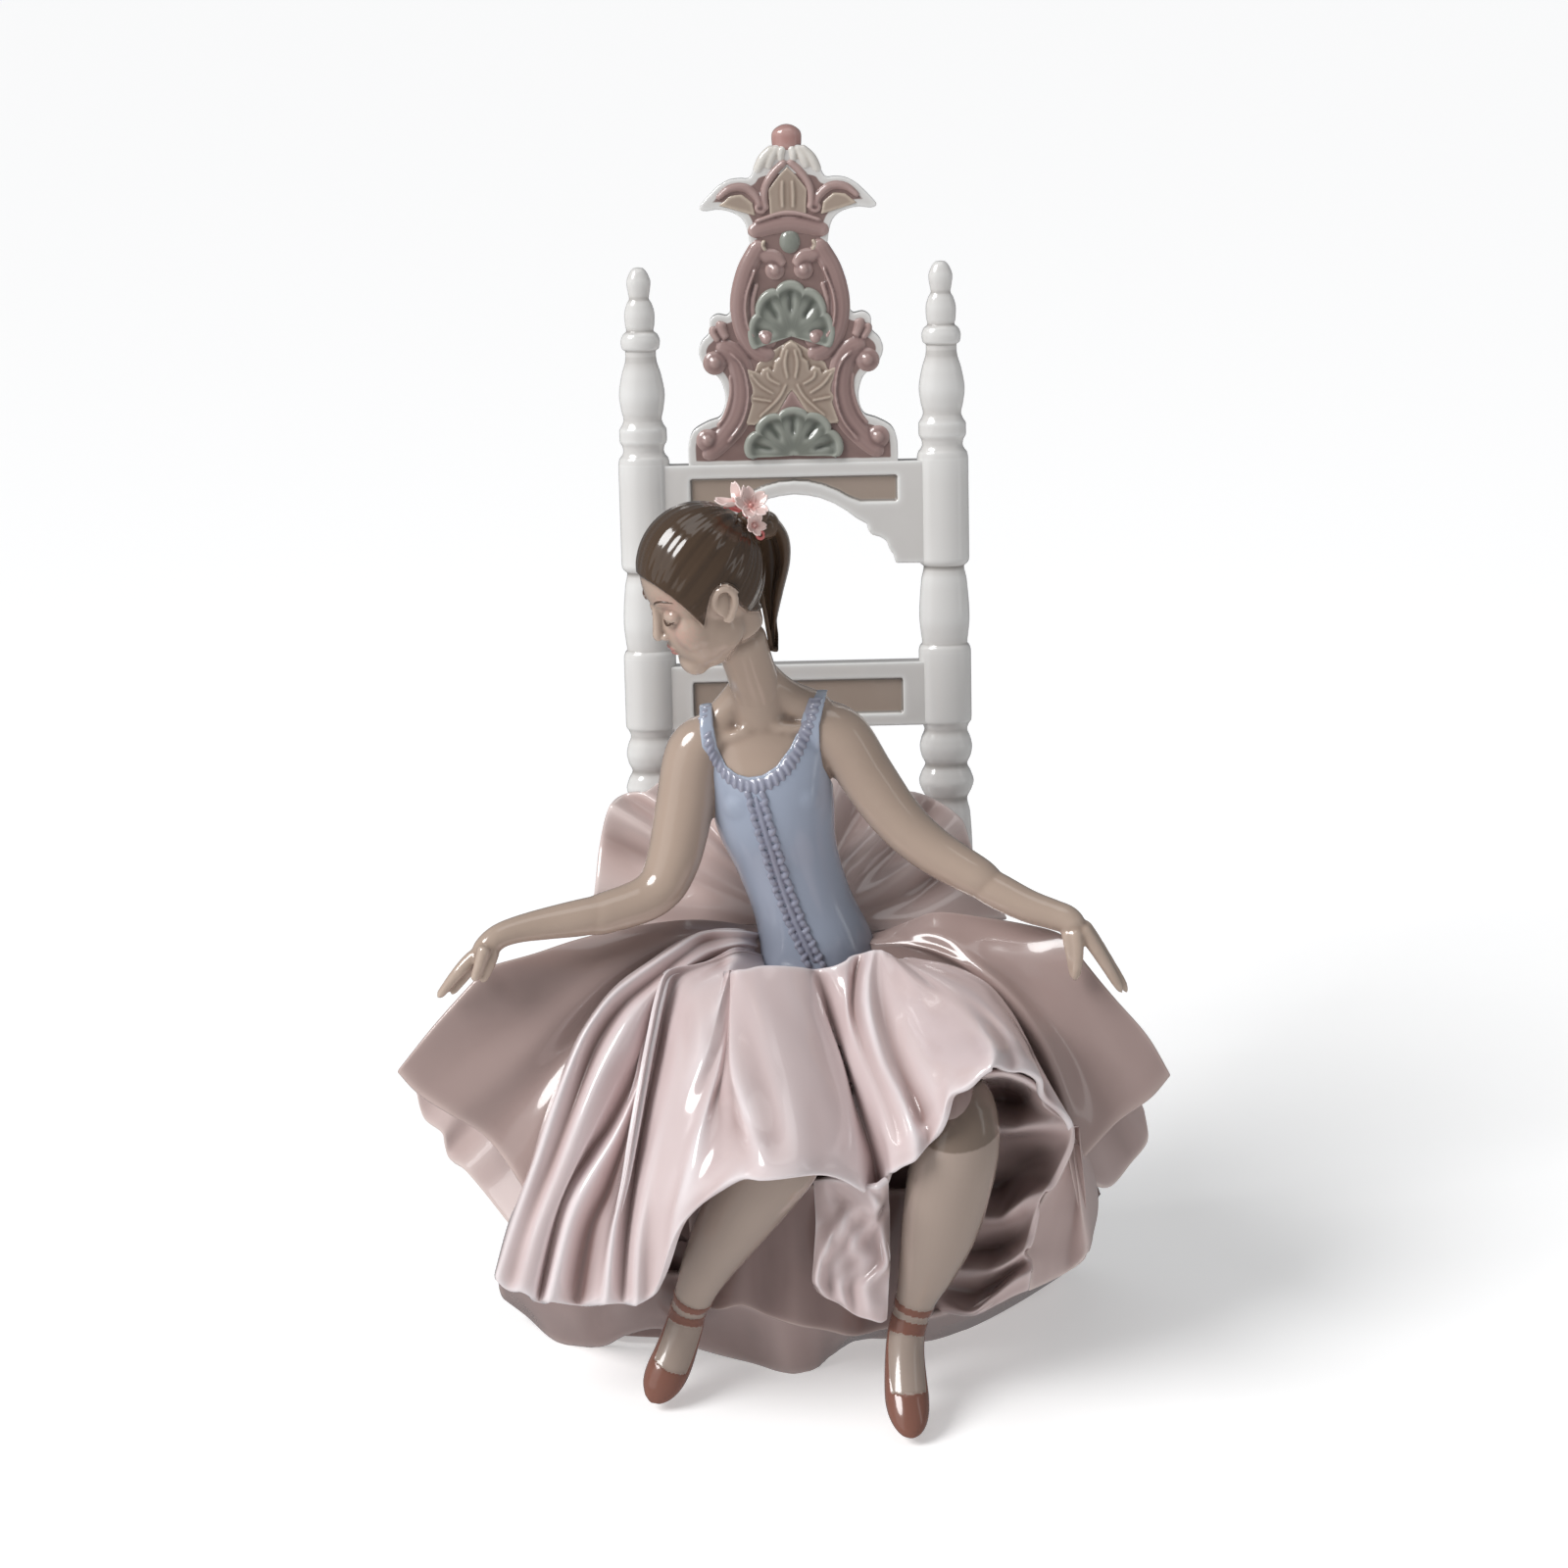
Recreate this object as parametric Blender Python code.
"""Seated porcelain ballerina before a carved chair back, one fused glazed body.

Metres, +Z up. The figure faces -Y, her right hand points to -X. The chair is
sized in metres. The dancer and her skirt are free forms: their points are given
in shares of the figure's height, with the floor at zero under the lap.
"""
import math

import bmesh
import bpy
from mathutils import Matrix, Vector

MM = 0.001

# The chair back
FIGURE_HEIGHT = 0.241
BACK_DISTANCE = 0.0600
BACK_OFFSET = 0.0006
BACK_LEAN = math.radians(8.0)
SEAT_HEIGHT = 0.090
POST_SPACING = 0.0826
POST_WIDTH = 0.0142
POST_FLATTEN = 0.72
POST_HEIGHT = 0.1960
RAIL_TOP = 0.1420
RAIL_FOOT = 0.1135
RAIL_THICKNESS = 0.0062
ARCH_RISE = 0.0198
ARCH_HALF_SPAN = 0.0278
LOWER_RAIL_TOP = 0.0858
LOWER_RAIL_BOTTOM = 0.0677
PANEL_MARGIN = 0.0044
PANEL_SINK = 0.0012
PANEL_END = 0.0072
CREST_HEIGHT = 0.0913
CREST_HALF_WIDTH = 0.0288
CREST_THICKNESS = 0.0060
RELIEF_RAISE = 0.0019
RELIEF_SINK = 0.00037
RIDGE_WIDTH = 0.0019
FINIAL_SIZE = 0.0041
KNOB_SIZE = 0.0030
SHELL_REACH = 0.0158
SEAT_THICKNESS = 0.0090
SEAT_DEPTH = 0.0340
STRETCHER_SIZE = 0.0080

# The skirt
RIBS = 240
CLOTH_EDGE = 0.0022
WAIST = Vector((3.4, 15.0, 112.0))

# The fused skin: its grain in shares of the figure, and how many faces describe it
SKIN_GRAIN = 0.75
FIGURE_FACES = 5550

U = FIGURE_HEIGHT / 241.0
BACK_Y = BACK_DISTANCE


def clear_scene():
    for ob in list(bpy.data.objects):
        bpy.data.objects.remove(ob, do_unlink=True)
    for me in list(bpy.data.meshes):
        bpy.data.meshes.remove(me)


def glaze():
    mat = bpy.data.materials.new("glazed_porcelain")
    mat.use_nodes = True
    bsdf = mat.node_tree.nodes["Principled BSDF"]
    bsdf.inputs["Base Color"].default_value = (0.62, 0.47, 0.46, 1.0)
    bsdf.inputs["Roughness"].default_value = 0.12
    bsdf.inputs["Metallic"].default_value = 0.0
    mat.diffuse_color = (0.62, 0.47, 0.46, 1.0)
    return mat


def finish_plain(bm, name):
    me = bpy.data.meshes.new(name)
    bm.to_mesh(me)
    bm.free()
    ob = bpy.data.objects.new(name, me)
    bpy.context.collection.objects.link(ob)
    return ob


def finish(bm, name):
    bmesh.ops.recalc_face_normals(bm, faces=bm.faces)
    if bm.calc_volume(signed=True) < 0.0:
        bmesh.ops.reverse_faces(bm, faces=bm.faces)
    return finish_plain(bm, name)


def skin_rings(name, rings):
    """A closed body through rings of points, with a fan of faces on each end."""
    bm = bmesh.new()
    loops = [[bm.verts.new(p) for p in ring] for ring in rings]
    n = len(loops[0])
    for a, b in zip(loops, loops[1:]):
        for i in range(n):
            j = (i + 1) % n
            bm.faces.new((a[i], a[j], b[j], b[i]))
    for ring, turned in ((loops[0], True), (loops[-1], False)):
        mid = bm.verts.new(sum((v.co for v in ring), Vector()) / n)
        for i in range(n):
            j = (i + 1) % n
            tri = (ring[j], ring[i], mid) if turned else (ring[i], ring[j], mid)
            bm.faces.new(tri)
    return finish(bm, name)


def spline(points, count):
    """Evenly numbered samples of a smooth curve through tuples of numbers."""
    out = []
    last = len(points) - 1
    for k in range(count):
        s = last * k / (count - 1)
        i = min(int(s), last - 1)
        t = s - i
        p0 = points[max(i - 1, 0)]
        p1 = points[i]
        p2 = points[i + 1]
        p3 = points[min(i + 2, last)]
        out.append(tuple(
            0.5 * (2 * b + (c - a) * t + (2 * a - 5 * b + 4 * c - d) * t * t
                   + (3 * b - a - 3 * c + d) * t ** 3)
            for a, b, c, d in zip(p0, p1, p2, p3)))
    return out


def limb(name, stations, seg=10, steps=None, side=Vector((1, 0, 0))):
    """A tapered limb: stations are x, y, z, half width, half depth."""
    if steps:
        stations = spline(stations, steps)
    centres = [Vector(s[:3]) for s in stations]
    rings = []
    for k, s in enumerate(stations):
        ahead = centres[min(k + 1, len(centres) - 1)]
        behind = centres[max(k - 1, 0)]
        run = (ahead - behind).normalized()
        across = (side - run * side.dot(run)).normalized()
        out = run.cross(across)
        rings.append([
            centres[k] + across * (s[3] * math.cos(a)) + out * (s[4] * math.sin(a))
            for a in (2 * math.pi * i / seg for i in range(seg))])
    return skin_rings(name, rings)


def egg(name, centre, radii, turn=None, seg=12, rows=8):
    bm = bmesh.new()
    bmesh.ops.create_uvsphere(bm, u_segments=seg, v_segments=rows, radius=1.0)
    place = Matrix.Translation(Vector(centre))
    place = place @ (turn.to_4x4() if turn else Matrix.Identity(4))
    place = place @ Matrix.Diagonal(Vector((*radii, 1.0)))
    bmesh.ops.transform(bm, matrix=place, verts=bm.verts)
    return finish(bm, name)


def slab(name, outline, front, back):
    """A plate: outline of x and height, between two depths."""
    bm = bmesh.new()
    face = bm.faces.new([bm.verts.new((x, front, z)) for x, z in outline])
    grown = bmesh.ops.extrude_face_region(bm, geom=[face])
    moved = [g for g in grown["geom"] if isinstance(g, bmesh.types.BMVert)]
    bmesh.ops.translate(bm, vec=(0, back - front, 0), verts=moved)
    bmesh.ops.triangulate(bm, faces=bm.faces)
    return finish(bm, name)


def block(name, low, high):
    outline = [(low[0], low[2]), (high[0], low[2]), (high[0], high[2]), (low[0], high[2])]
    return slab(name, outline, low[1], high[1])


def put(ob, matrix):
    ob.data.transform(matrix)
    return ob


def settle(ob):
    """Keep what the modifiers make as the object's own mesh."""
    deps = bpy.context.evaluated_depsgraph_get()
    me = bpy.data.meshes.new_from_object(ob.evaluated_get(deps))
    ob.modifiers.clear()
    ob.data = me


def fuse(target, others, operation="UNION"):
    for other in others:
        mod = target.modifiers.new("fuse", "BOOLEAN")
        mod.operation = operation
        mod.solver = "EXACT"
        mod.object = other
        settle(target)
        bpy.data.objects.remove(other, do_unlink=True)
    return target


def mirrored(half):
    return half + [(-x, z) for x, z in reversed(half) if abs(x) > 1e-6]


# The turned posts

# Height up the leaning post and half width, each as a share of POST_HEIGHT and POST_WIDTH / 2
POST_TURNING = [
    (1.000, 0.02), (0.990, 0.34), (0.978, 0.46), (0.958, 0.38), (0.951, 0.49),
    (0.935, 0.59), (0.914, 0.53), (0.908, 0.68), (0.899, 0.76), (0.887, 0.71),
    (0.883, 0.58), (0.850, 0.77), (0.823, 0.90), (0.803, 0.82), (0.789, 0.74),
    (0.782, 0.81), (0.774, 0.92), (0.760, 0.92), (0.751, 0.84), (0.743, 0.82),
    (0.734, 0.96), (0.578, 0.96), (0.574, 0.79), (0.553, 0.89), (0.500, 0.98),
    (0.475, 0.92), (0.460, 0.91), (0.456, 1.00), (0.350, 1.00), (0.345, 0.90),
    (0.336, 0.85), (0.323, 0.97), (0.311, 1.03), (0.298, 0.97), (0.286, 0.85),
    (0.273, 0.99), (0.260, 1.07), (0.247, 0.97), (0.236, 0.85), (0.180, 0.95),
    (0.100, 1.00),
]


def chair_place():
    lift = Matrix.Translation(Vector((BACK_OFFSET, BACK_Y, SEAT_HEIGHT)))
    return lift @ Matrix.Rotation(-BACK_LEAN, 4, "X")


def post(name, x):
    bm = bmesh.new()
    drop = -(SEAT_HEIGHT / math.cos(BACK_LEAN)) - POST_WIDTH
    rows = [(h * POST_HEIGHT, w * POST_WIDTH / 2) for h, w in POST_TURNING]
    rows.append((drop, POST_WIDTH / 2))
    seg = 10
    loops = []
    for h, r in rows:
        ring = []
        for i in range(seg):
            a = 2 * math.pi * i / seg
            ring.append(bm.verts.new((x + r * math.cos(a), r * POST_FLATTEN * math.sin(a), h)))
        loops.append(ring)
    for a, b in zip(loops, loops[1:]):
        for i in range(seg):
            j = (i + 1) % seg
            bm.faces.new((a[i], a[j], b[j], b[i]))
    bm.faces.new(loops[0])
    bm.faces.new(list(reversed(loops[-1])))
    bmesh.ops.triangulate(bm, faces=[f for f in bm.faces if len(f.verts) > 4])
    return finish(bm, name)


def arch_line():
    """Half of the arch's edge from its top outward to the foot of the rail."""
    top = RAIL_FOOT + ARCH_RISE
    shares = [(0.00, 1.00), (0.30, 0.92), (0.50, 0.78), (0.64, 0.63), (0.72, 0.59),
              (0.74, 0.45), (0.86, 0.37), (0.94, 0.19), (1.00, 0.0)]
    rise = top - RAIL_FOOT
    return [(s * ARCH_HALF_SPAN, RAIL_FOOT + q * rise) for s, q in shares]


def rails():
    half = POST_SPACING / 2
    front = -RAIL_THICKNESS / 2
    back = RAIL_THICKNESS / 2
    arch = arch_line()
    edge = [(half, RAIL_TOP), (half, RAIL_FOOT)] + list(reversed(arch))
    upper = slab("upper_rail", edge + [(-x, z) for x, z in reversed(edge) if x > 1e-6], front, back)
    clear = half - POST_WIDTH / 2
    m = PANEL_MARGIN
    drop = RAIL_TOP - m
    crown = RAIL_FOOT + ARCH_RISE + m * 0.7
    side = clear - m * 0.75
    foot = drop - PANEL_END
    panel = [(0.0, drop), (side, drop), (side, foot), (0.62 * side, foot),
             (0.42 * side, (crown + foot) / 2 + 0.36 * m), (0.0, crown)]
    cuts = [slab("upper_panel", mirrored(panel), front - MM, front + PANEL_SINK)]
    lower = block("lower_rail", (-half, front, LOWER_RAIL_BOTTOM), (half, back, LOWER_RAIL_TOP))
    cuts.append(block("lower_panel", (-side, front - MM, LOWER_RAIL_BOTTOM + m * 0.8),
                      (side, front + PANEL_SINK, LOWER_RAIL_TOP - m)))
    return upper, lower, cuts


# The carved crest

CREST_EDGE = [
    (0.000, 1.000), (0.100, 0.985), (0.132, 0.940), (0.139, 0.920), (0.288, 0.873),
    (0.351, 0.831), (0.538, 0.827), (0.694, 0.800), (0.816, 0.750), (0.778, 0.734),
    (0.556, 0.731), (0.431, 0.708), (0.392, 0.675), (0.361, 0.608), (0.451, 0.553),
    (0.538, 0.485), (0.576, 0.426), (0.698, 0.425), (0.767, 0.405), (0.750, 0.367),
    (0.826, 0.348), (0.872, 0.315), (0.833, 0.278), (0.740, 0.258), (0.667, 0.227),
    (0.639, 0.170), (0.694, 0.117), (0.816, 0.107), (0.944, 0.085), (0.993, 0.049),
    (1.000, -0.020),
]


def crest_point(p):
    return p[0] * CREST_HALF_WIDTH, RAIL_TOP + p[1] * CREST_HEIGHT


def ridge(name, path, width, seg=6):
    """A rounded raised band that lies along a path on the crest's face."""
    y = RELIEF_SINK - CREST_THICKNESS / 2
    line = [crest_point(p) for p in path]
    last = len(line) - 1
    stations = []
    for i, (x, z) in enumerate(line):
        w = width * (0.55 if i in (0, last) else 1.0)
        stations.append((x, y, z, RELIEF_RAISE, w))
    return limb(name, stations, seg, None, Vector((0, 1, 0)))


def shell(name, hub, reach, lobes):
    """Flutes that open like a fan from the hub of a shell."""
    made = []
    hx, hz = crest_point(hub)
    y = RELIEF_SINK - CREST_THICKNESS / 2
    for k in range(lobes):
        a = math.radians(90 + 128 * (k / (lobes - 1) - 0.5))
        size = reach * (1.0 - 0.16 * abs(k / (lobes - 1) - 0.5) * 2)
        out = Vector((math.cos(a), 0, math.sin(a)))
        tilt = Matrix.Rotation(math.pi / 2 - a, 3, "Y")
        at = Vector((hx, y, hz)) + out * size * 0.56
        made.append(egg(name + str(k), at, (size * 0.205, RELIEF_RAISE * 1.05, size * 0.48),
                        tilt, 8, 6))
    return made


def crest():
    plate = slab("crest", [crest_point(p) for p in mirrored(CREST_EDGE)],
                 -CREST_THICKNESS / 2, CREST_THICKNESS / 2)
    top = crest_point((0.0, 0.955))
    ball = (FINIAL_SIZE, FINIAL_SIZE, 1.12 * FINIAL_SIZE)
    parts = [egg("finial", (top[0], -0.1 * CREST_THICKNESS, top[1]), ball, None, 10, 8)]
    w = RIDGE_WIDTH
    k = KNOB_SIZE
    face = RELIEF_SINK - CREST_THICKNESS / 2
    for side in (1, -1):
        upper = [(0.25, 0.66), (0.40, 0.56), (0.50, 0.47), (0.46, 0.39), (0.32, 0.345),
                 (0.19, 0.355), (0.20, 0.40)]
        lower = [(0.66, 0.36), (0.50, 0.315), (0.42, 0.23), (0.49, 0.135), (0.64, 0.065),
                 (0.84, 0.055), (0.80, 0.105)]
        leaf = [(0.20, 0.74), (0.38, 0.785), (0.55, 0.79), (0.74, 0.765)]
        frond = [(0.08, 0.13), (0.27, 0.19), (0.30, 0.265), (0.10, 0.335)]
        for n, path in enumerate((upper, lower, leaf, frond)):
            line = [(x * side, z) for x, z in path]
            parts.append(ridge("scroll", line, w * (1.0, 1.05, 0.9, 1.3)[n]))
        eye = crest_point((0.68 * side, 0.405))
        parts.append(egg("knob", (eye[0], face, eye[1]), (k, 0.7 * k, 0.73 * k), None, 8, 6))
    parts.append(ridge("band", [(-0.40, 0.693), (-0.2, 0.716), (0.0, 0.724), (0.2, 0.716),
                                (0.40, 0.693)], w))
    parts.append(ridge("leaf", [(0.0, 0.74), (0.0, 0.80), (0.0, 0.885)], w * 1.9))
    boss = crest_point((0.0, 0.668))
    parts.append(egg("boss", (boss[0], face, boss[1]), (k, 0.8 * k, 1.2 * k), None, 8, 6))
    parts += shell("upper_shell", (0.0, 0.375), SHELL_REACH, 5)
    parts += shell("lower_shell", (0.0, 0.010), 0.95 * SHELL_REACH, 5)
    return plate, parts


def chair():
    place = chair_place()
    half = POST_SPACING / 2
    body = put(post("chair", -half), place)
    other = put(post("post", half), place)
    upper, lower, cuts = rails()
    for ob in (upper, lower):
        put(ob, place)
    for ob in cuts:
        put(ob, place)
    plate, parts = crest()
    for ob in [plate] + parts:
        put(ob, place)
    fuse(body, [other, upper, lower])
    fuse(body, cuts, "DIFFERENCE")
    fuse(body, [plate] + parts)
    seat = block("seat", (-half, BACK_Y - SEAT_DEPTH, SEAT_HEIGHT - SEAT_THICKNESS),
                 (half, BACK_Y + 0.3 * RAIL_THICKNESS, SEAT_HEIGHT))
    low = SEAT_HEIGHT * 0.30
    at = BACK_Y - (SEAT_HEIGHT - low) * math.tan(BACK_LEAN)
    stretcher = block("stretcher", (-half, at - STRETCHER_SIZE / 2, low),
                      (half, at + STRETCHER_SIZE / 2, low + STRETCHER_SIZE))
    fuse(body, [seat, stretcher])
    flat = body.modifiers.new("flat", "DECIMATE")
    flat.decimate_type = "DISSOLVE"
    flat.angle_limit = math.radians(0.1)
    settle(body)
    return body


# The skirt: each row is a direction from the waist in degrees (0 forward, 90 to +X), the hem's
# reach and height, how late the cloth falls, its lift on the way, and how far it tucks under

TOP_LAYER = [
    (-180, 35.0, 154.0, 1.7, -4.0, 0.02),
    (-150, 42.0, 155.0, 1.7, -4.0, 0.02),
    (-131, 50.0, 152.0, 1.6, -4.0, 0.02),
    (-119, 60.0, 145.0, 1.5, -4.0, 0.03),
    (-110, 63.5, 131.0, 1.4, -3.0, 0.05),
    (-102, 64.0, 119.0, 2.0, 2.0, 0.06),
    (-92, 72.0, 112.0, 3.0, 6.0, 0.12),
    (-83, 95.0, 103.0, 5.0, 8.0, 0.16),
    (-76.5, 115.0, 90.4, 6.0, 9.5, 0.16),
    (-71, 104.0, 77.0, 3.2, 5.0, 0.16),
    (-67, 95.0, 66.0, 2.2, 0.0, 0.16),
    (-64.5, 92.0, 58.0, 2.2, -1.0, 0.16),
    (-61.5, 96.5, 39.0, 3.8, 2.0, 0.18),
    (-55, 91.0, 36.0, 3.6, 3.0, 0.18),
    (-47, 81.0, 36.5, 3.4, 3.0, 0.18),
    (-40, 75.0, 39.0, 3.2, 4.0, 0.20),
    (-35, 81.0, 60.0, 3.2, 5.0, 0.24),
    (-26, 84.0, 76.0, 3.3, 5.0, 0.28),
    (-17, 85.0, 84.4, 3.8, 4.5, 0.30),
    (-7, 82.0, 84.0, 3.6, 4.0, 0.30),
    (5, 74.0, 79.0, 3.0, 2.0, 0.26),
    (13, 74.0, 84.0, 3.0, 2.0, 0.24),
    (22, 80.0, 101.0, 4.5, 6.0, 0.26),
    (31, 86.0, 109.0, 4.5, 9.0, 0.28),
    (40, 87.0, 101.0, 4.0, 9.0, 0.26),
    (48, 85.0, 83.0, 3.4, 8.0, 0.22),
    (54, 78.0, 60.0, 2.8, 7.0, 0.18),
    (59, 68.0, 38.0, 2.2, 5.0, 0.16),
    (64, 76.0, 60.0, 2.4, 6.0, 0.14),
    (69, 88.0, 74.0, 3.6, 7.0, 0.14),
    (74, 99.0, 85.0, 6.0, 10.0, 0.14),
    (82, 78.0, 104.0, 4.0, 10.0, 0.14),
    (92, 60.0, 113.0, 3.0, 7.0, 0.10),
    (104, 53.0, 119.0, 2.0, 3.0, 0.06),
    (116, 52.0, 127.0, 1.6, -1.0, 0.03),
    (126, 50.0, 138.0, 1.6, -3.0, 0.02),
    (141, 43.0, 146.0, 1.7, -4.0, 0.02),
    (160, 37.0, 152.0, 1.7, -4.0, 0.02),
]

# The layers beneath: direction, reach at the floor, reach and height of the fold, reach on top
LOW_LAYERS = [
    (-180, 36.0, 37.0, 30.0, 33.0),
    (-150, 44.0, 44.0, 30.0, 38.0),
    (-128, 58.0, 60.0, 26.0, 46.0),
    (-113, 78.0, 84.0, 24.0, 56.0),
    (-101, 86.0, 96.0, 36.0, 64.0),
    (-91, 80.0, 104.0, 50.0, 84.0),
    (-84, 73.0, 101.0, 58.0, 92.0),
    (-77, 66.0, 86.0, 32.0, 84.0),
    (-68, 53.0, 76.0, 30.0, 78.0),
    (-59, 44.0, 68.0, 28.0, 72.0),
    (-45, 39.0, 56.0, 22.0, 62.0),
    (-28, 36.0, 50.0, 20.0, 58.0),
    (-9, 33.0, 48.0, 18.0, 58.0),
    (6, 29.0, 48.0, 17.0, 56.0),
    (19, 25.0, 49.0, 18.0, 60.0),
    (30, 23.0, 50.0, 18.0, 60.0),
    (42, 24.0, 50.0, 20.0, 62.0),
    (54, 32.0, 58.0, 22.0, 64.0),
    (64, 42.0, 62.0, 22.0, 66.0),
    (74, 47.0, 66.0, 20.0, 70.0),
    (84, 52.0, 80.0, 40.0, 74.0),
    (91, 58.0, 92.0, 55.0, 74.0),
    (97, 64.0, 90.0, 36.0, 62.0),
    (108, 79.0, 84.0, 16.0, 52.0),
    (124, 62.0, 64.0, 24.0, 44.0),
    (145, 48.0, 48.0, 28.0, 38.0),
]


def ring_rows(rows, count):
    """Rows of a closed table, read at evenly spaced directions."""
    wrapped = [(rows[-1][0] - 360,) + rows[-1][1:]] + rows
    wrapped = wrapped + [(rows[0][0] + 360,) + rows[0][1:], (rows[1][0] + 360,) + rows[1][1:]]
    out = []
    for k in range(count):
        a = -180 + 360 * k / count
        i = 0
        while wrapped[i + 1][0] <= a:
            i += 1
        p0 = wrapped[max(i - 1, 0)]
        p1 = wrapped[i]
        p2 = wrapped[i + 1]
        p3 = wrapped[i + 2]
        t = (a - p1[0]) / (p2[0] - p1[0])
        vals = []
        for q in range(1, len(p1)):
            span = p2[0] - p1[0]
            m1 = span * (p2[q] - p0[q]) / max(p2[0] - p0[0], 1e-6)
            m2 = span * (p3[q] - p1[q]) / max(p3[0] - p1[0], 1e-6)
            h = (2 * t ** 3 - 3 * t * t + 1) * p1[q] + (t ** 3 - 2 * t * t + t) * m1
            h += (3 * t * t - 2 * t ** 3) * p2[q] + (t ** 3 - t * t) * m2
            vals.append(h)
        out.append((a, vals))
    return out


def window(a, low, high, soft=8.0):
    up = min(max((a - low) / soft, 0.0), 1.0)
    down = min(max((high - a) / soft, 0.0), 1.0)
    return up * down


def crease(turns):
    """A sharp crest between round hollows, from -1 to 1."""
    return 1.0 - 2.0 * abs(math.sin(math.pi * turns)) ** 0.75


def pleat(a, t):
    """How far a point of the top cloth stands above the plain sheet, as a share of reach."""
    left = window(a, -67, -28, 5) * 0.046 * crease((a + 62.5) / 7.4) * t ** 0.8
    lap = window(a, -30, 56) * 0.020 * crease((a + 21) / 14.5) * t
    valley = -0.11 * math.exp(-((a - 9) / 4.5) ** 2) * t ** 1.6
    back = (window(a, -181, -104) + window(a, 104, 181)) * 0.055
    back *= crease((a + 4) / 19.0) * t
    wing = (window(a, 60, 92) + 0.6 * window(a, -96, -66)) * 0.020
    wing *= crease((a - 68) / 11.0) * t
    return left + lap + valley + back + wing


def around(a, r, z):
    h = math.radians(a)
    return Vector((WAIST.x + r * math.sin(h), WAIST.y - r * math.cos(h), z)) * U


def top_layer():
    rings = [[] for _ in range(13)]
    edge = CLOTH_EDGE / U
    for a, (reach, hem, late, lift, tuck) in ring_rows(TOP_LAYER, RIBS):
        line = [(11.0, WAIST.z - 4.0)]
        for k in range(1, 9):
            t = k / 8
            r = 13.0 + (reach - 13.0) * t
            z = WAIST.z + (hem - WAIST.z) * t ** late + lift * math.sin(math.pi * t)
            fold = pleat(a, t) * reach
            line.append((r + fold * 0.35, z + fold * 0.75))
        r, z = line[-1]
        standing = hem > 118
        line.append((r + (0.9 * edge if standing else -0.15 * edge), z - edge))
        line.append((r * (1 - tuck) + (edge if standing else 0), z - (14 if standing else -1.0)))
        line.append((min(reach * 0.6, 46.0), 58.0 if not standing else 62.0))
        line.append((14.0, 50.0))
        for k, (r, z) in enumerate(line):
            rings[k].append(around(a, r, z))
    return skin_rings("skirt", rings)


def low_layers():
    rings = [[] for _ in range(7)]
    for a, (floor, fold, high, upper) in ring_rows(LOW_LAYERS, RIBS):
        wave = 1 + 0.035 * crease((a + 9) / 21.0)
        curl = 1 + 0.040 * crease((a + 3) / 13.0)
        base = floor * wave
        hem = fold * curl
        crown = 78.0 + 24.0 * window(abs(a), 66, 400, 40)
        line = [(base, -3.0), (base + (hem - base) * 0.42, high * 0.78), (hem, high - 1.6),
                (hem, high), (hem - 2.2, high + 3.4), (upper, crown), (12.0, crown + 2.0)]
        for k, (r, z) in enumerate(line):
            rings[k].append(around(a, r, z))
    return skin_rings("underskirt", rings)


def ruffles():
    """Tongues of the inner cloth that hang beside the shins."""
    hung = [
        [(9.0, -53.0, 81.0, 5.0, 3.5), (11.0, -48.0, 64.0, 8.0, 4.5),
         (13.5, -43.0, 48.0, 11.0, 5.0), (15.0, -38.0, 33.0, 13.0, 4.6),
         (16.0, -36.0, 27.0, 11.0, 3.0)],
        [(60.0, -44.0, 96.0, 5.0, 8.0), (57.0, -38.0, 76.0, 6.0, 9.0),
         (55.0, -32.0, 56.0, 7.0, 9.0), (52.0, -25.0, 38.0, 9.0, 8.0),
         (47.0, -20.0, 24.0, 10.0, 6.0)],
        [(-38.0, -50.0, 70.0, 3.0, 8.0), (-42.0, -42.0, 52.0, 4.0, 8.0),
         (-46.0, -36.0, 40.0, 5.0, 6.0)],
    ]
    return [limb("ruffle", stations, 14, 9) for stations in hung]


# The dancer

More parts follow.
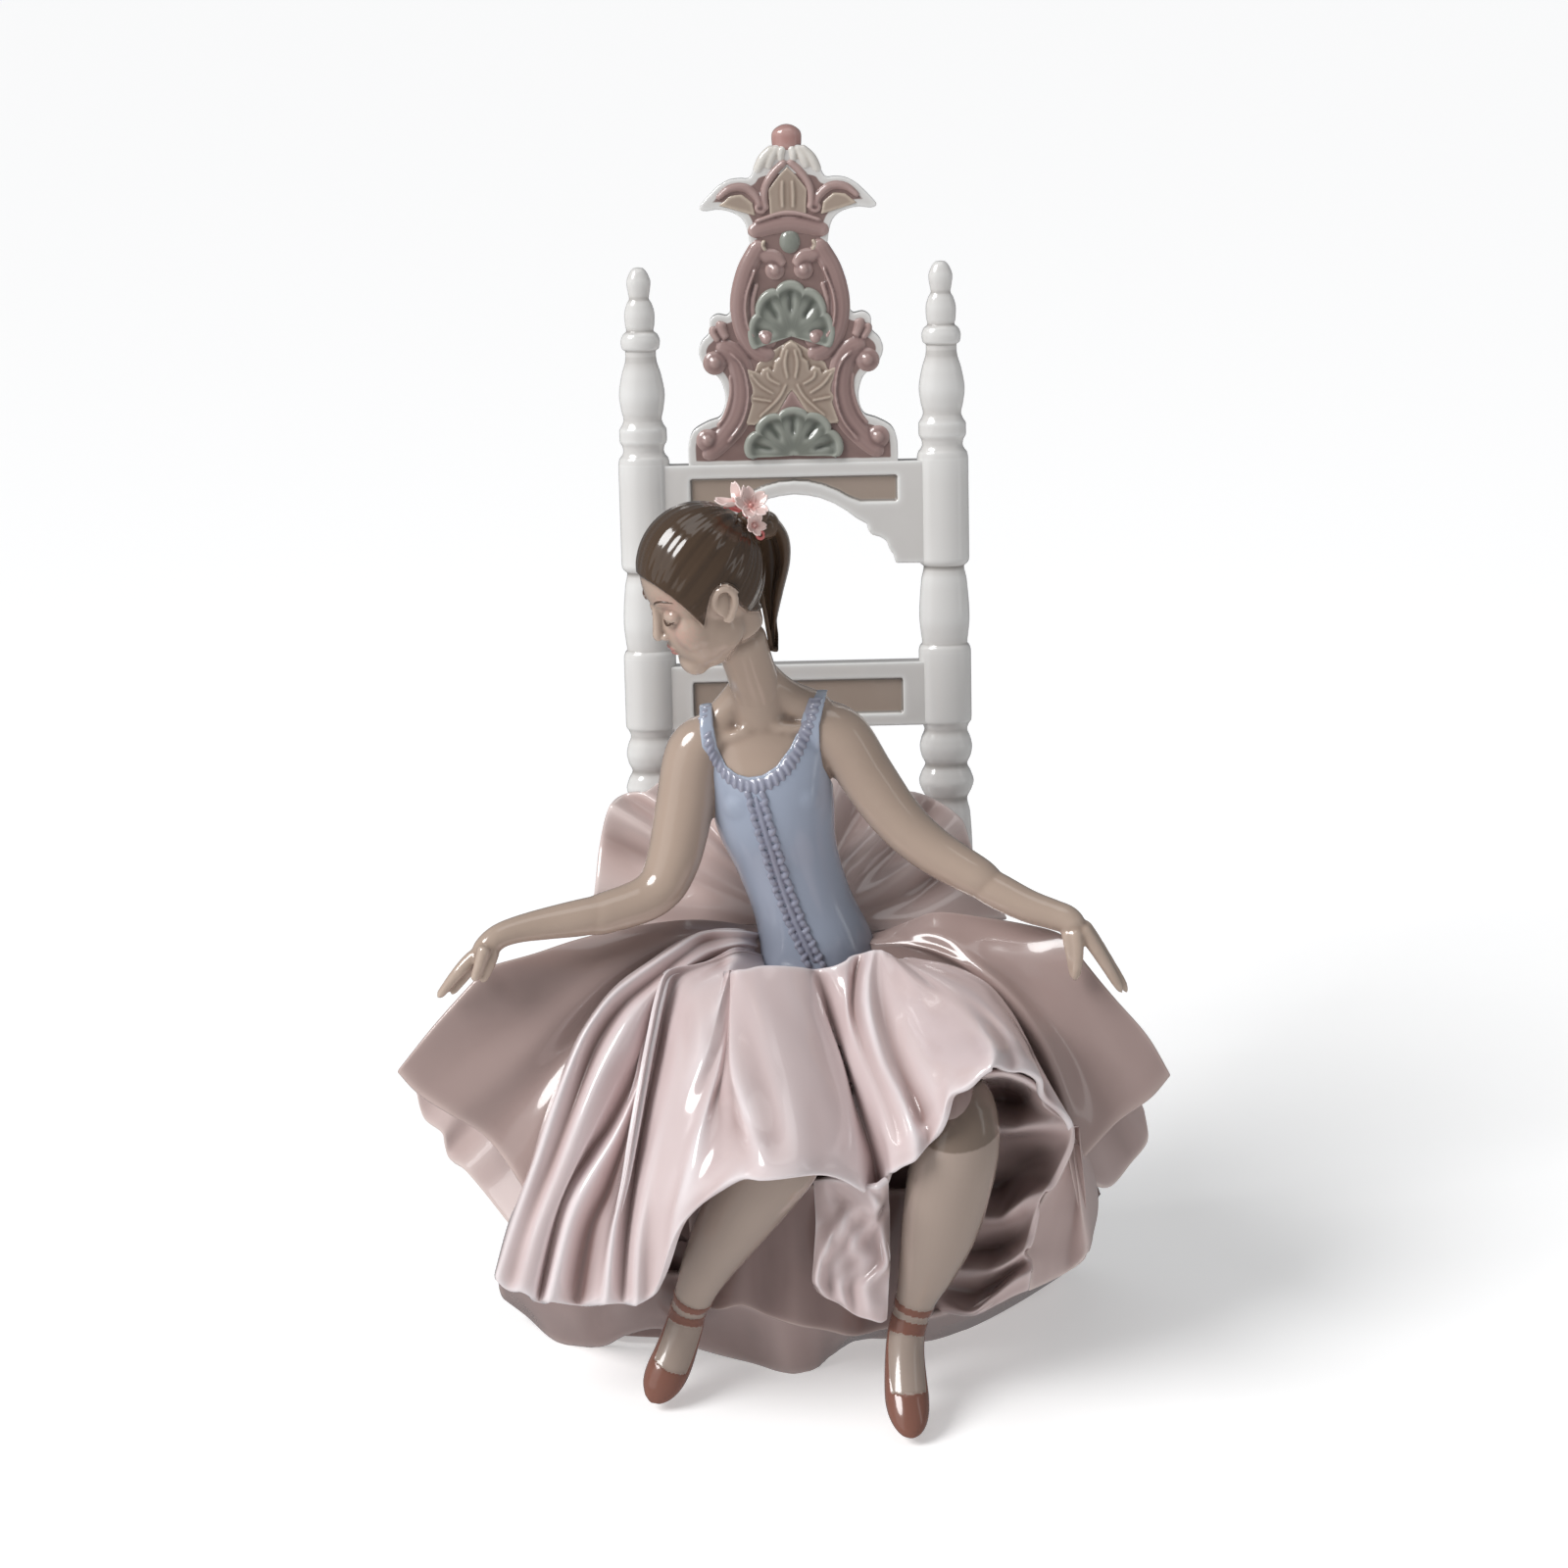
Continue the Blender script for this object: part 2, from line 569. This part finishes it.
def person():
    parts = []
    parts.append(limb("torso", [
        (5.0, 17.0, 102.0, 15.5, 12.0), (3.8, 17.0, 111.0, 15.2, 11.6),
        (0.4, 17.0, 124.0, 12.9, 10.0), (-3.6, 16.5, 138.0, 13.2, 10.2),
        (-6.4, 15.5, 150.0, 15.4, 11.6), (-7.6, 15.0, 161.0, 15.8, 11.0),
        (-8.6, 15.5, 170.0, 16.5, 8.6), (-9.2, 16.0, 176.5, 10.5, 6.4),
        (-9.6, 16.0, 180.0, 6.0, 5.4)], 14, 15))
    parts.append(limb("neck", [
        (-9.6, 16.0, 172.0, 8.6, 7.2), (-10.5, 14.5, 182.0, 6.7, 6.5),
        (-13.0, 11.0, 192.0, 6.3, 6.3), (-16.0, 6.0, 205.0, 7.0, 7.2)], 12, 7))
    parts.append(limb("arm_left", [
        (-20.0, 15.5, 171.5, 5.0, 5.0), (-26.4, 15.0, 166.5, 7.2, 7.2),
        (-29.5, 13.0, 152.0, 7.4, 7.4), (-33.4, 8.5, 139.5, 6.7, 6.6),
        (-39.0, 5.0, 132.5, 6.0, 5.9), (-52.0, 1.0, 129.5, 5.6, 5.5),
        (-66.0, -3.5, 128.0, 4.4, 4.4), (-79.5, -7.0, 125.5, 3.6, 3.4)], 10, 16,
        Vector((0, 1, 0))))
    parts.append(limb("arm_right", [
        (0.0, 16.0, 172.5, 5.5, 5.0), (9.8, 15.5, 171.0, 7.8, 7.2),
        (17.5, 14.0, 160.0, 7.8, 7.4), (26.0, 11.0, 150.0, 7.0, 6.8),
        (34.5, 7.5, 143.0, 6.4, 6.2), (46.0, 2.5, 137.0, 5.7, 5.4),
        (58.0, -2.5, 131.5, 4.6, 4.4), (71.0, -6.5, 125.5, 3.8, 3.5)], 10, 16,
        Vector((0, 1, 0))))
    parts.append(limb("palm_left", [
        (-77.0, -6.6, 126.0, 3.3, 3.6), (-82.0, -8.5, 122.6, 2.6, 4.6),
        (-86.5, -10.0, 117.8, 2.1, 4.4)], 8, 5, Vector((0, 1, 0))))
    parts.append(limb("palm_right", [
        (68.5, -5.8, 127.0, 3.4, 3.7), (73.5, -8.0, 122.6, 2.7, 4.7),
        (77.0, -9.6, 117.6, 2.2, 4.5)], 8, 5, Vector((0, 1, 0))))
    fingers = [
        [(-85.6, -12.8, 118.6), (-90.6, -14.4, 114.2), (-95.4, -15.0, 109.6)],
        [(-86.4, -11.0, 117.8), (-90.0, -12.6, 112.6), (-93.2, -13.6, 108.6)],
        [(-86.0, -9.2, 117.4), (-88.4, -11.0, 112.4), (-90.8, -12.4, 108.8)],
        [(-83.4, -12.0, 120.4), (-85.6, -15.4, 114.0), (-86.8, -16.6, 109.4)],
        [(76.4, -12.2, 118.6), (80.0, -14.0, 113.0), (83.4, -14.6, 107.4)],
        [(77.6, -10.6, 118.4), (82.4, -12.6, 113.6), (86.6, -13.6, 108.8)],
        [(78.0, -9.0, 118.2), (83.4, -10.8, 114.2), (88.2, -12.0, 109.6)],
        [(72.6, -11.6, 120.4), (72.4, -15.2, 114.6), (72.2, -16.4, 110.0)],
    ]
    for line in fingers:
        parts.append(limb("finger", [
            (*line[0], 1.5, 1.5), (*line[1], 1.35, 1.35), (*line[2], 0.8, 0.8)], 6, None,
            Vector((0, 1, 0))))
    parts.append(limb("shin_left", [
        (-2.0, -46.0, 90.0, 10.0, 9.5), (-9.0, -46.0, 78.0, 9.8, 9.0),
        (-19.0, -37.0, 58.0, 8.6, 8.6), (-27.0, -29.0, 40.0, 6.2, 6.2),
        (-32.6, -25.0, 26.0, 4.4, 4.6), (-35.6, -26.0, 17.0, 4.5, 5.2),
        (-40.0, -31.0, 7.5, 4.7, 4.6), (-43.0, -34.0, 2.4, 3.4, 2.4)], 10, 16))
    parts.append(limb("shin_right", [
        (38.0, -38.0, 104.0, 9.0, 9.0), (40.0, -50.0, 101.0, 8.8, 9.0),
        (38.6, -51.0, 88.0, 8.4, 9.0), (35.0, -45.0, 66.0, 8.4, 9.0),
        (30.6, -38.0, 46.0, 6.6, 7.0), (26.4, -35.0, 29.0, 4.5, 4.8),
        (24.6, -38.0, 18.0, 4.6, 5.4), (24.2, -47.0, 9.0, 5.2, 4.6),
        (24.4, -54.0, 3.0, 4.0, 2.8)], 10, 18))
    tilt = Matrix.Rotation(math.radians(-58), 3, "Z") @ Matrix.Rotation(math.radians(24), 3, "X")
    face = Vector((-22.0, 0.5, 216.0))
    parts.append(egg("skull", face + tilt @ Vector((0, 2.0, 5.5)), (16.6, 19.6, 18.6), tilt, 16, 12))
    parts.append(egg("jaw", face + tilt @ Vector((0, -6.6, -8.0)), (10.6, 11.2, 13.2), tilt, 12, 10))
    parts.append(limb("nose", [
        tuple(face + tilt @ Vector((0, -17.6, 1.5))) + (1.6, 1.6),
        tuple(face + tilt @ Vector((0, -19.6, -4.6))) + (2.0, 2.2),
        tuple(face + tilt @ Vector((0, -17.4, -6.8))) + (1.4, 1.2)], 6))
    for dy, dz, w, h in ((-18.4, -10.4, 2.9, 1.1), (-17.9, -12.6, 2.5, 1.2)):
        parts.append(egg("lip", face + tilt @ Vector((0, dy, dz)), (w, 1.5, h), tilt, 8, 6))
    parts.append(egg("chin", face + tilt @ Vector((0, -15.4, -18.0)), (4.0, 3.6, 3.4), tilt, 8, 6))
    for x in (15.6, -15.6):
        parts.append(egg("ear", face + tilt @ Vector((x, 1.0, -3.5)), (1.8, 3.4, 5.4), tilt, 8, 6))
    parts.append(egg("hair", face + tilt @ Vector((0, 4.6, 7.6)), (17.8, 19.4, 17.6), tilt, 16, 12))
    parts.append(limb("ponytail", [
        (-13.5, 5.0, 235.0, 4.0, 4.0), (-9.0, 8.0, 236.5, 4.6, 4.6),
        (-6.2, 10.0, 229.5, 4.8, 4.8), (-5.4, 11.0, 219.0, 4.6, 4.4),
        (-6.2, 11.0, 209.0, 3.6, 3.6), (-7.4, 11.0, 199.5, 1.2, 1.2)], 10, 12))
    blooms = [((-12.4, -5.0, 240.0), 3.9), ((-17.6, -2.0, 242.0), 3.2), ((-11.2, -5.5, 234.0), 3.2)]
    for at, size in blooms:
        out = (Vector(at) - Vector((-12.0, 4.0, 233.0))).normalized()
        turn = out.to_track_quat("Z", "Y").to_matrix()
        for k in range(5):
            a = 2 * math.pi * k / 5
            leaf = turn @ Vector((math.cos(a) * size * 0.6, math.sin(a) * size * 0.6, size * 0.2))
            lean = turn @ Matrix.Rotation(a, 3, "Z") @ Matrix.Rotation(-0.5, 3, "Y")
            parts.append(egg("petal", Vector(at) + leaf, (size * 0.62, size * 0.46, size * 0.24),
                             lean, 6, 5))
        parts.append(egg("bloom", Vector(at) - out, (size * 0.4, size * 0.4, size * 0.5), turn, 6, 5))
    return parts


def scaled(parts):
    return [put(ob, Matrix.Scale(U, 4)) for ob in parts]


def blend(name, parts, grain, faces):
    """One closed skin over overlapping forms, as slip closes the joins of a cast figure."""
    bm = bmesh.new()
    for ob in parts:
        bm.from_mesh(ob.data)
        bpy.data.objects.remove(ob, do_unlink=True)
    body = finish_plain(bm, name)
    remesh = body.modifiers.new("skin", "REMESH")
    remesh.mode = "VOXEL"
    remesh.voxel_size = grain
    settle(body)
    soften = body.modifiers.new("soften", "SMOOTH")
    soften.factor = 0.5
    soften.iterations = 2
    settle(body)
    thin = body.modifiers.new("thin", "DECIMATE")
    thin.ratio = faces / (2.0 * len(body.data.polygons))
    thin.use_collapse_triangulate = True
    settle(body)
    return body


def drop_crumbs(bm):
    """Keep the one body and remove loose slivers left by the joins."""
    groups = []
    seen = set()
    for start in bm.verts:
        if start in seen:
            continue
        seen.add(start)
        group = [start]
        for v in group:
            for e in v.link_edges:
                w = e.other_vert(v)
                if w not in seen:
                    seen.add(w)
                    group.append(w)
        groups.append(group)
    groups.sort(key=len)
    for group in groups[:-1]:
        bmesh.ops.delete(bm, geom=group, context="VERTS")


def build():
    clear_scene()
    forms = [top_layer(), low_layers()] + scaled(ruffles() + person())
    body = blend("figure", forms, SKIN_GRAIN * U, FIGURE_FACES)
    fuse(body, [chair()])
    big = 4 * FIGURE_HEIGHT
    fuse(body, [block("floor", (-big, -big, -big), (big, big, 0.0))], "DIFFERENCE")
    body.name = "ballerina_figurine"
    me = body.data
    bm = bmesh.new()
    bm.from_mesh(me)
    bmesh.ops.remove_doubles(bm, verts=bm.verts, dist=1e-6)
    drop_crumbs(bm)
    bmesh.ops.triangulate(bm, faces=bm.faces)
    bm.to_mesh(me)
    bm.free()
    xs = [v.co.x for v in me.vertices]
    ys = [v.co.y for v in me.vertices]
    zs = [v.co.z for v in me.vertices]
    shift = Vector((-(min(xs) + max(xs)) / 2, -(min(ys) + max(ys)) / 2, -min(zs)))
    me.transform(Matrix.Translation(shift))
    me.materials.clear()
    me.materials.append(glaze())
    for p in me.polygons:
        p.use_smooth = True
        p.material_index = 0
    me.set_sharp_from_angle(angle=math.radians(42))
    return shift


SHIFTED = build()
